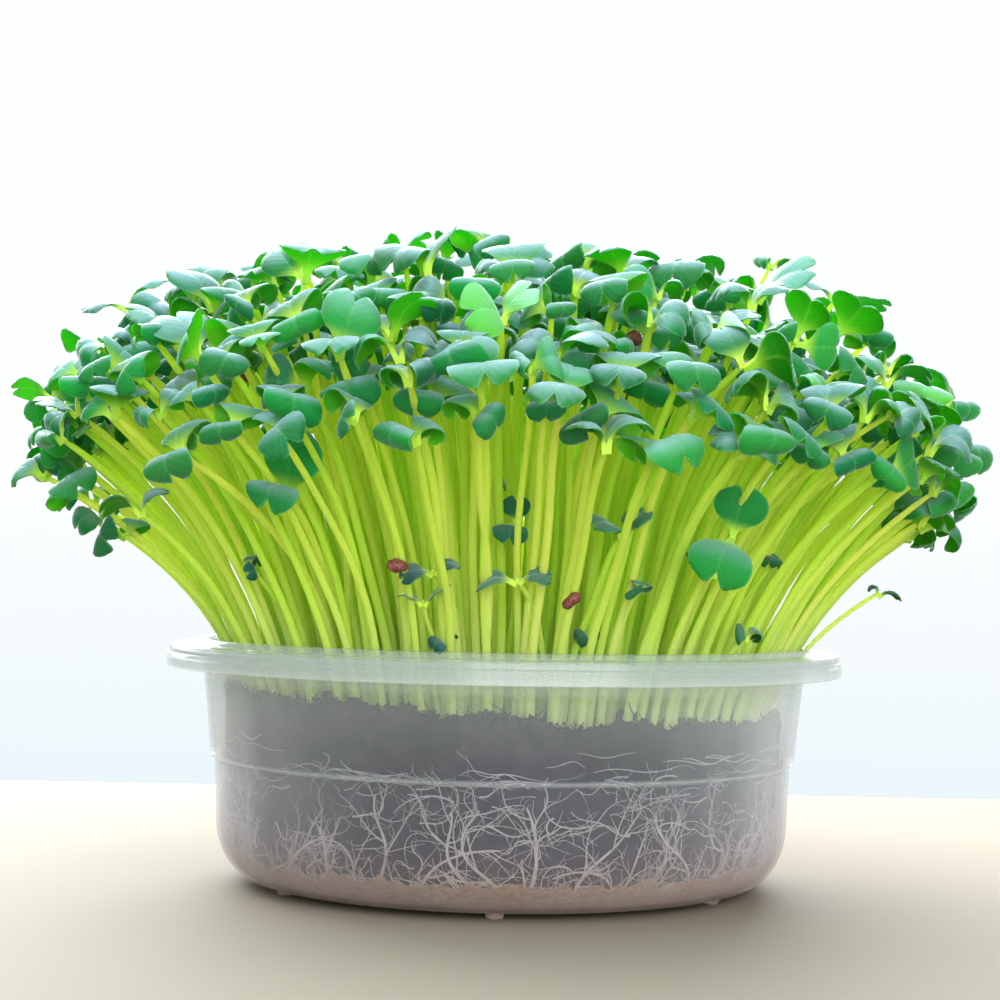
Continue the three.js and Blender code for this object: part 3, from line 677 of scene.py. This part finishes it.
def blade_grid(size, rise, fall, droop, valley, ripple, twist, seed):
    """Upper and under faces of one seed leaf with its stalk, in its own frame.

    It leaves the stem at the angle rise, turns over its crest and ends at the angle fall. Its edges
    droop, its midrib lies in a shallow valley and its margin ripples a little."""
    over = np.clip((ALONG - 0.12) / 0.88, 0, 1)
    heading = rise + (fall - rise) * over * over * (3 - 2 * over)
    stride = BLADE_LENGTH * size / (len(ALONG) - 1)
    run = np.concatenate([[0], np.cumsum(np.cos(heading[:-1]))]) * stride
    climb = np.concatenate([[0], np.cumsum(np.sin(heading[:-1]))]) * stride
    s = ROWS[:, None]
    along = s * (1 - (1 - LOBE[None, :]) * s ** 2.5)
    spread = np.clip((s - 0.18) / 0.3, 0, 1)
    y = BLADE_HALF_WIDTH * size * ACROSS[None, :] * WIDTH_AT[:, None]
    edge = np.abs(y) / (BLADE_HALF_WIDTH * size)
    lift = spread * size * (valley * (1 - np.exp(-np.abs(y) / 1.6)) - droop * edge ** 2.4)
    lift = lift + spread * ripple * np.sin(along * 10 + seed + np.sign(y) * 1.3) * edge ** 3
    way = np.interp(along, ALONG, heading)
    x = np.interp(along, ALONG, run) - lift * np.sin(way)
    z = np.interp(along, ALONG, climb) + lift * np.cos(way)
    y = y * (1 - 0.1 * spread * droop * edge ** 2)
    z = z + y * math.sin(twist) * along
    middle = np.stack([x, y, z], axis=-1)
    normal = np.cross(np.gradient(middle, axis=0), np.gradient(middle, axis=1))
    normal /= np.linalg.norm(normal, axis=-1, keepdims=True) + 1e-12
    thick = THICK_AT[:, None] * (1 - 0.45 * np.abs(ACROSS[None, :]) ** 4 * spread) * min(1, 0.5 + 0.5 * size)
    return middle + normal * thick[..., None], middle - normal * thick[..., None]


rows, cols = len(ROWS), len(ACROSS)
grid = np.arange(rows * cols).reshape(rows, cols)
upper_quads = np.stack([grid[:-1, :-1], grid[1:, :-1], grid[1:, 1:], grid[:-1, 1:]], axis=-1).reshape(-1, 4)
under_quads = upper_quads[:, ::-1] + rows * cols
rim = np.concatenate([grid[0, :], grid[1:, -1], grid[-1, -2::-1], grid[-2:0:-1, 0]])
nxt = np.roll(rim, -1)
rim_quads = np.stack([rim, nxt, nxt + rows * cols, rim + rows * cols], axis=-1)
leaf_quads = np.concatenate([upper_quads, under_quads, rim_quads])
leaf_looks = [1] * len(upper_quads) + [2] * len(under_quads) + [1] * len(rim_quads)
leaf_uv = np.stack(np.meshgrid(ROWS, ACROSS * 0.5 + 0.5, indexing="ij"), axis=-1).reshape(-1, 2)
leaf_uv = np.concatenate([leaf_uv, leaf_uv])

STEM_SIDES, STEM_RINGS = 7, 13
ring_share = np.linspace(0, 1, STEM_RINGS) ** 0.9
stem_radius = np.interp(ring_share, [0, 0.1, 0.5, 0.9, 0.97, 1.0], [1.06, 1.03, 0.96, 0.87, 0.83, 0.57])
stem_grid = np.arange(STEM_RINGS * STEM_SIDES).reshape(STEM_RINGS, STEM_SIDES)
stem_next = np.roll(stem_grid, -1, axis=1)
stem_quads = np.stack([stem_grid[:-1], stem_next[:-1], stem_next[1:], stem_grid[1:]], axis=-1)
stem_quads = stem_quads.reshape(-1, 4)


def stem_rings(plant):
    """Points of a stem's rings. It sways a little on its way up and no two are equally thick."""
    line = stem_line(plant, ring_share)
    along = np.gradient(line, axis=0)
    along /= np.linalg.norm(along, axis=1)[:, None]
    flat = unit(np.cross(plant["bend"] - plant["base"], plant["tip"] - plant["bend"]) + [1e-6, 0, 0])
    out = np.cross(along, flat)
    sway = 0.9 * np.sin(ring_share * (5 + 4 * vary(plant["index"], 31)) + 6 * vary(plant["index"], 32))
    line = line + flat[None, :] * (sway * np.sin(np.pi * ring_share))[:, None]
    thick = stem_radius * (0.86 + 0.26 * vary(plant["index"], 33)) * min(1, 0.3 + 0.72 * plant["size"])
    turns = 2 * np.pi * np.arange(STEM_SIDES) / STEM_SIDES
    ring = np.cos(turns)[None, :, None] * flat[None, None, :] + np.sin(turns)[None, :, None] * out[:, None, :]
    return (line[:, None, :] + thick[:, None, None] * ring).reshape(-1, 3)


def lit_through(tree, face, glow, share):
    """Lets some light through a leaf or stem, the way a thin leaf glows against the light."""
    through = shade(tree, "ShaderNodeBsdfTranslucent")
    tree.links.new(glow, through.inputs["Color"])
    both = shade(tree, "ShaderNodeMixShader", Fac=share, i1=face.outputs["BSDF"], i2=through.outputs["BSDF"])
    tree.links.new(both.outputs["Shader"], tree.nodes["Material Output"].inputs["Surface"])


def own_tones(tree):
    """The random tone that each leaf or stem keeps all over, and how young it is."""
    own = shade(tree, "ShaderNodeUVMap")
    own.uv_map = "own_tone"
    tone = shade(tree, "ShaderNodeSeparateXYZ", Vector=own.outputs["UV"])
    return tone.outputs["X"], tone.outputs["Y"]


def leaf_marks(tree):
    """Shares of midrib, side veins, margin and stalk at a place on the leaf."""
    laid = shade(tree, "ShaderNodeUVMap")
    laid.uv_map = "leaf"
    axes = shade(tree, "ShaderNodeSeparateXYZ", Vector=laid.outputs["UV"])
    along, across = axes.outputs["X"], axes.outputs["Y"]
    off = maths(tree, "MULTIPLY", maths(tree, "ABSOLUTE", maths(tree, "SUBTRACT", across, 0.5)), 2.0)
    rib = remap(tree, off, 0.0, 0.09, 1.0, 0.0)
    slant = maths(tree, "SUBTRACT", maths(tree, "MULTIPLY", along, 22.0), maths(tree, "MULTIPLY", off, 7.0))
    veins = maths(tree, "POWER", maths(tree, "ABSOLUTE", maths(tree, "SINE", slant)), 5.0)
    veins = maths(tree, "MULTIPLY", veins, maths(tree, "SUBTRACT", 1.0, off))
    margin_side = remap(tree, off, 0.92, 0.99)
    margin_tip = remap(tree, along, 0.96, 0.998)
    margin = maths(tree, "MAXIMUM", margin_side, margin_tip)
    stalk = remap(tree, along, 0.42, 0.18)
    return rib, veins, margin, stalk


def leaf_upper():
    look, tree, face = look_nodes("leaf_upper_face")
    rib, veins, margin, stalk = leaf_marks(tree)
    tone, youth = own_tones(tree)
    place = place_on(tree)
    clouds = shade(tree, "ShaderNodeTexNoise", Vector=place, Scale=170.0, Detail=3.0).outputs["Fac"]
    colour = ramp(tree, tone, (0.0, (0.006, 0.03, 0.035)), (0.2, (0.001, 0.053, 0.016)),
                  (0.6, (0.001, 0.095, 0.022)), (1.0, (0.006, 0.19, 0.032)))
    colour = tinted(tree, "MIX", maths(tree, "MULTIPLY", clouds, 0.3), colour, (0.01, 0.1, 0.08))
    colour = tinted(tree, "MIX", maths(tree, "MULTIPLY", youth, 0.8), colour, (0.12, 0.5, 0.03))
    colour = tinted(tree, "MIX", maths(tree, "MULTIPLY", veins, 0.08), colour, (0.14, 0.4, 0.2))
    colour = tinted(tree, "MIX", maths(tree, "MULTIPLY", rib, 0.14), colour, (0.22, 0.5, 0.16))
    colour = tinted(tree, "MIX", maths(tree, "MULTIPLY", margin, 0.25), colour, (0.2, 0.5, 0.25))
    # The crests are whitened towards a pale blue where the upper face points up: partly a waxy bloom, partly
    # a painted highlight of the bright sky on the crests.
    up = axis(tree, shade(tree, "ShaderNodeNewGeometry").outputs["Normal"], "Z")
    up = remap(tree, up, 0.15, 1.0)
    wax_and_painted_highlight = maths(tree, "MULTIPLY_ADD", clouds, 0.8, 0.1)
    wax_and_painted_highlight = maths(tree, "MULTIPLY", maths(tree, "POWER", up, 1.4), wax_and_painted_highlight)
    full_grown = remap(tree, tone, 0.0, 0.2, 0.3, 1.0)
    wax_and_painted_highlight = maths(tree, "MULTIPLY", wax_and_painted_highlight, full_grown)
    colour = tinted(tree, "MIX", wax_and_painted_highlight, colour, (0.4, 0.51, 0.72))
    colour = tinted(tree, "MIX", maths(tree, "POWER", stalk, 1.5), colour, (0.5, 0.72, 0.07))
    tree.links.new(colour, face.inputs["Base Color"])
    smoothness = remap(tree, up, 0.0, 1.0, 0.58, 0.34)
    tree.links.new(smoothness, face.inputs["Roughness"])
    face.inputs["Specular IOR Level"].default_value = 0.32
    face.inputs["Specular Tint"].default_value = (0.3, 0.85, 0.9, 1)
    face.inputs["Sheen Weight"].default_value = 0.5
    face.inputs["Sheen Roughness"].default_value = 0.32
    face.inputs["Sheen Tint"].default_value = (0.7, 0.88, 1.0, 1)
    rise = maths(tree, "SUBTRACT", maths(tree, "MULTIPLY", clouds, 0.6), maths(tree, "MULTIPLY", veins, 0.4))
    rise = maths(tree, "SUBTRACT", rise, rib)
    bump = shade(tree, "ShaderNodeBump", Strength=0.3, Distance=0.0006, Height=rise)
    tree.links.new(bump.outputs["Normal"], face.inputs["Normal"])
    lit_through(tree, face, tinted(tree, "MIX", 0.85, colour, (0.04, 0.8, 0.001)),
                maths(tree, "MULTIPLY_ADD", tone, 0.26, 0.1))
    return look


def leaf_under():
    look, tree, face = look_nodes("leaf_under_face")
    rib, veins, margin, stalk = leaf_marks(tree)
    tone, youth = own_tones(tree)
    colour = ramp(tree, tone, (0.0, (0.015, 0.08, 0.03)), (0.2, (0.015, 0.2, 0.006)),
                  (0.6, (0.05, 0.32, 0.006)), (1.0, (0.12, 0.46, 0.01)))
    colour = tinted(tree, "MIX", maths(tree, "MULTIPLY", veins, 0.2), colour, (0.25, 0.55, 0.06))
    colour = tinted(tree, "MIX", maths(tree, "MULTIPLY", rib, 0.5), colour, (0.4, 0.7, 0.08))
    colour = tinted(tree, "MIX", maths(tree, "MULTIPLY", margin, 0.5), colour, (0.35, 0.7, 0.15))
    colour = tinted(tree, "MIX", maths(tree, "POWER", stalk, 1.5), colour, (0.52, 0.74, 0.06))
    tree.links.new(colour, face.inputs["Base Color"])
    face.inputs["Roughness"].default_value = 0.5
    lit_through(tree, face, tinted(tree, "MIX", 0.75, colour, (0.16, 0.95, 0.002)), 0.5)
    return look


def stem_look():
    look, tree, stem = look_nodes("juicy_stem")
    climb = remap(tree, axis(tree, place_on(tree), "Z"), 0.045, 0.165)
    tone, youth = own_tones(tree)
    # Both tones are pale near the soil and turn greener and darker towards the leaves; the darkening at the
    # top is painted shade from the leaves above.
    green = ramp(tree, climb, (0.0, (0.84, 0.9, 0.55)), (0.2, (0.72, 0.88, 0.18)), (0.55, (0.64, 0.86, 0.11)),
                 (1.0, (0.36, 0.68, 0.05)))
    yellow = ramp(tree, climb, (0.0, (0.88, 0.9, 0.6)), (0.3, (0.88, 0.88, 0.28)), (0.6, (0.87, 0.87, 0.2)),
                  (1.0, (0.55, 0.74, 0.08)))
    colour = tinted(tree, "MIX", tone, green, yellow)
    tree.links.new(colour, stem.inputs["Base Color"])
    stem.inputs["Roughness"].default_value = 0.38
    stem.inputs["Specular IOR Level"].default_value = 0.25
    lit_through(tree, stem, tinted(tree, "MIX", 0.4, colour, (0.76, 0.98, 0.07)), 0.7)
    return look


def seed_coat():
    look, tree, coat = look_nodes("seed_coat")
    pits = shade(tree, "ShaderNodeTexVoronoi", Vector=place_on(tree), Scale=1500.0).outputs["Distance"]
    brown = ramp(tree, pits, (0.2, (0.05, 0.012, 0.01)), (0.7, (0.2, 0.05, 0.035)))
    tree.links.new(brown, coat.inputs["Base Color"])
    coat.inputs["Roughness"].default_value = 0.6
    return look


seedling_looks = [stem_look(), leaf_upper(), leaf_under(), seed_coat()]
shape_draw = np.random.default_rng(31)
bunch_points, bunch_faces, bunch_looks, bunch_uv, bunch_tone = (
    [[] for _ in range(BUNCHES)] for _ in range(5))


def add_part(k, part_points, part_faces, part_looks, part_uv, tone):
    """Adds one stem, leaf or seed coat to the lists of a bunch."""
    start = sum(len(block) for block in bunch_points[k])
    bunch_points[k].append(part_points)
    bunch_faces[k] += [[corner + start for corner in face] for face in part_faces]
    bunch_looks[k] += part_looks
    bunch_uv[k].append(part_uv)
    bunch_tone[k].append(np.tile(tone, (len(part_points), 1)))


stem_faces = stem_quads.tolist() + [stem_grid[0][::-1].tolist(), stem_grid[-1].tolist()]
leaf_faces = leaf_quads.tolist()
# Which material of a bunch a stem and a seed coat take. A leaf takes 1 above and 2 below.
STEM_LOOK, COAT_LOOK = 0, 3
# Rise, fall, droop and valley of the near and the far blade of the pairs that stand out.
POSED = {
    SEEDLINGS + 1: ((0.6, -0.2, 1.3, 0.2), (0.6, -0.2, 1.3, 0.2)),
    SEEDLINGS + 4: ((0.9, -0.5, 1.9, 0.1), (0.8, -0.3, 1.9, 0.1)),
    SEEDLINGS + 5: ((1.1, -0.6, 1.8, 0.3), (1.1, -0.6, 1.8, 0.3)),
    SEEDLINGS + 7: ((1.5, 1.2, 0.2, 0.4), (0.3, -1.5, 0.5, 0.3)),
    SEEDLINGS + 8: ((1.4, 0.7, 1.0, 0.2), (1.4, -1.3, 0.8, 0.3)),
    SEEDLINGS + 9: ((0.8, -0.9, 0.5, 0.3), (0.8, -0.9, 0.5, 0.3)),
    SEEDLINGS + 10: ((0.6, -0.9, 0.3, 0.5), (0.6, -0.9, 0.3, 0.5)),
    SEEDLINGS + 11: ((1.3, 0.5, 0.3, 0.4), (0.9, -0.5, 0.4, 0.4)),
    FIRST_LATE: ((0.9, 0.3, 0.2, 0.5), (0.9, -0.3, 0.2, 0.5)),
    FIRST_LATE + 1: ((1.5, 1.3, 0.2, 0.5), (0.4, -1.3, 0.3, 0.3)),
}
for plant in plants:
    k = plant["bunch"]
    add_part(k, stem_rings(plant), stem_faces, [STEM_LOOK] * len(stem_faces),
             np.zeros((STEM_RINGS * STEM_SIDES, 2)), [shape_draw.random(), 0])
    level = np.array([math.cos(plant["turn"]), math.sin(plant["turn"]), 0])
    forward = unit(level - plant["up"] * level.dot(plant["up"]))
    sideways = np.cross(plant["up"], forward)
    bigger = shape_draw.choice([1, -1])
    curl = shape_draw.random() ** 0.5
    youth = 0.9 if shape_draw.random() < 0.04 and not plant["late"] else 0.22 * shape_draw.random()
    for blade_number, way in enumerate((1, -1)):
        size = plant["size"] * (1.08 if way == bigger else 0.88)
        own_curl = np.clip(curl + 0.25 * shape_draw.normal(), 0, 1)
        pose = (1.1 + 0.4 * shape_draw.random(), 0.2 - 3.2 * own_curl, 0.3 + 1.8 * shape_draw.random(),
                0.1 + 0.7 * shape_draw.random() ** 2)
        rise, fall, droop, valley = POSED[plant["index"]][blade_number] if plant["index"] in POSED else pose
        upper, under = blade_grid(
            size, rise, fall, droop, valley, ripple=0.15 + 0.3 * shape_draw.random(),
            twist=0.25 * shape_draw.normal(), seed=6.3 * shape_draw.random())
        blade = np.concatenate([upper.reshape(-1, 3), under.reshape(-1, 3)])
        roll = 0.0 if plant["index"] in POSED else 0.42 * shape_draw.normal()
        across = sideways * way * math.cos(roll) + plant["up"] * math.sin(roll)
        blade = blade @ np.stack([forward * way, across, np.cross(forward * way, across)])
        root = plant["tip"] - plant["up"] * 1.3 + forward * way * 0.3
        tone = 0.0 if plant["late"] else 0.2 + 0.8 * shape_draw.random()
        add_part(k, blade + root, leaf_faces, leaf_looks, leaf_uv, [tone, youth])

# Empty seed coats still cling to a few stems.
COAT_ROWS, COAT_SIDES = 7, 10
coat_grid = np.arange(COAT_ROWS * COAT_SIDES).reshape(COAT_ROWS, COAT_SIDES)
coat_next = np.roll(coat_grid, -1, axis=1)
coat_faces = np.stack([coat_grid[:-1], coat_next[:-1], coat_next[1:], coat_grid[1:]], axis=-1)
coat_faces = coat_faces.reshape(-1, 4).tolist() + [coat_grid[0][::-1].tolist(), coat_grid[-1].tolist()]
lean = np.linspace(-1.35, 1.35, COAT_ROWS)[:, None]
turns = np.linspace(0, 2 * np.pi, COAT_SIDES, endpoint=False)[None, :]
COAT_PLACES = [(18.7, -86, 71), (-22, -80, 84), (4, -70, 146), (34, -60, 140), (-62, -56, 126)]
for place in COAT_PLACES:
    runs = [stem_line(plant, np.linspace(0.2, 0.93, 40)) for plant in plants]
    gaps = [np.linalg.norm(run - place, axis=1) for run in runs]
    nearest = int(np.argmin([gap.min() for gap in gaps]))
    spot = runs[nearest][gaps[nearest].argmin()]
    crumple = 1 + 0.16 * shape_draw.normal(size=(COAT_ROWS, COAT_SIDES))
    coat = np.stack([2.6 * np.sin(lean) + 0 * turns, 1.9 * np.cos(lean) * np.cos(turns) * crumple,
                     1.4 * np.cos(lean) * np.sin(turns) * crumple], axis=-1).reshape(-1, 3)
    coat = coat @ np.array(Euler((6.3 * shape_draw.random(), 0.7 * shape_draw.random(), 0.4)).to_matrix())
    coat += spot + unit(spot * [1, 1, 0]) * 2.0
    add_part(plants[nearest]["bunch"], coat, coat_faces, [COAT_LOOK] * len(coat_faces),
             np.zeros((len(coat), 2)), [0, 0])

for k in range(BUNCHES):
    name = f"bunch_{k + 1:02d}"
    piece = new_piece("seedlings_" + name, np.concatenate(bunch_points[k]), bunch_faces[k], seedling_looks,
                      bunch_looks[k], smooth_below=70)
    corners = np.empty(len(piece.data.loops), dtype=int)
    piece.data.loops.foreach_get("vertex_index", corners)
    for layer, values in (("leaf", bunch_uv[k]), ("own_tone", bunch_tone[k])):
        sheet = piece.data.uv_layers.new(name=layer)
        sheet.uv.foreach_set("vector", np.concatenate(values)[corners].astype(np.float32).ravel())
    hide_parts(name)

# Studio: a plain pale floor under soft light, with a bright wash from behind and above, as at a
# window, and a weaker one from the front. The camera looks level across the rim.

floor_mesh = bpy.data.meshes.new("floor")
floor_mesh.from_pydata([(-3, -3, 0), (3, -3, 0), (3, 0.24, 0), (-3, 0.24, 0)], [], [(0, 1, 2, 3)])
floor = bpy.data.objects.new("floor", floor_mesh)
bpy.context.collection.objects.link(floor)
pale, tree, paint = look_nodes("pale_floor")
paint.inputs["Base Color"].default_value = (0.235, 0.205, 0.165, 1)
paint.inputs["Roughness"].default_value = 0.8
paint.inputs["Specular IOR Level"].default_value = 0.1
floor_mesh.materials.append(pale)

world = bpy.data.worlds.new("studio")
bpy.context.scene.world = world
world.use_nodes = True
sky = world.node_tree
way = shade(sky, "ShaderNodeTexCoord").outputs["Generated"]
backward = remap(sky, axis(sky, way, "Y"), -0.9, 0.3)
wash = ramp(sky, backward, (0.0, (0.84, 0.88, 0.91)), (1.0, (0.98, 0.995, 1.0)))
upward = remap(sky, axis(sky, way, "Z"), -0.1, 0.03)
haze = ramp(sky, upward, (0.0, (0.86, 0.935, 0.97)), (1.0, (1.0, 1.0, 1.0)))
sky.links.new(tinted(sky, "MULTIPLY", 1.0, wash, haze), sky.nodes["Background"].inputs["Color"])


def soft_light(name, place, aim, width, height, watts, colour):
    lamp = bpy.data.lights.new(name, "AREA")
    lamp.shape = "RECTANGLE"
    lamp.size, lamp.size_y, lamp.energy, lamp.color = width, height, watts, colour
    stand = bpy.data.objects.new(name, lamp)
    stand.location = place
    stand.rotation_euler = (Vector(aim) - Vector(place)).to_track_quat("-Z", "Y").to_euler()
    bpy.context.collection.objects.link(stand)


soft_light("window_behind", (-0.3, 1.3, 0.75), (0, 0, 0.12), 2.0, 1.2, 95, (0.96, 0.99, 1.0))
soft_light("overhead", (-0.15, -0.1, 1.2), (0, 0, 0.1), 1.1, 1.1, 22, (0.82, 0.94, 1.0))
soft_light("front_fill", (0.3, -1.2, 0.35), (0, 0, 0.08), 1.2, 0.7, 20, (1.0, 0.99, 0.97))

camera_data = bpy.data.cameras.new("camera")
camera_data.lens = 79.45
camera_data.sensor_width = 36
camera_data.clip_start = 0.01
camera = bpy.data.objects.new("camera", camera_data)
camera.location = (0, -0.583, 0.0827)
aim = Euler((math.radians(90 + 1.74), 0, math.radians(0.18))).to_matrix()
roll = Euler((0, 0, math.radians(1.1))).to_matrix()
camera.rotation_euler = (aim @ roll).to_euler()
bpy.context.collection.objects.link(camera)
bpy.context.scene.camera = camera
bpy.context.scene.view_settings.view_transform = "Standard"
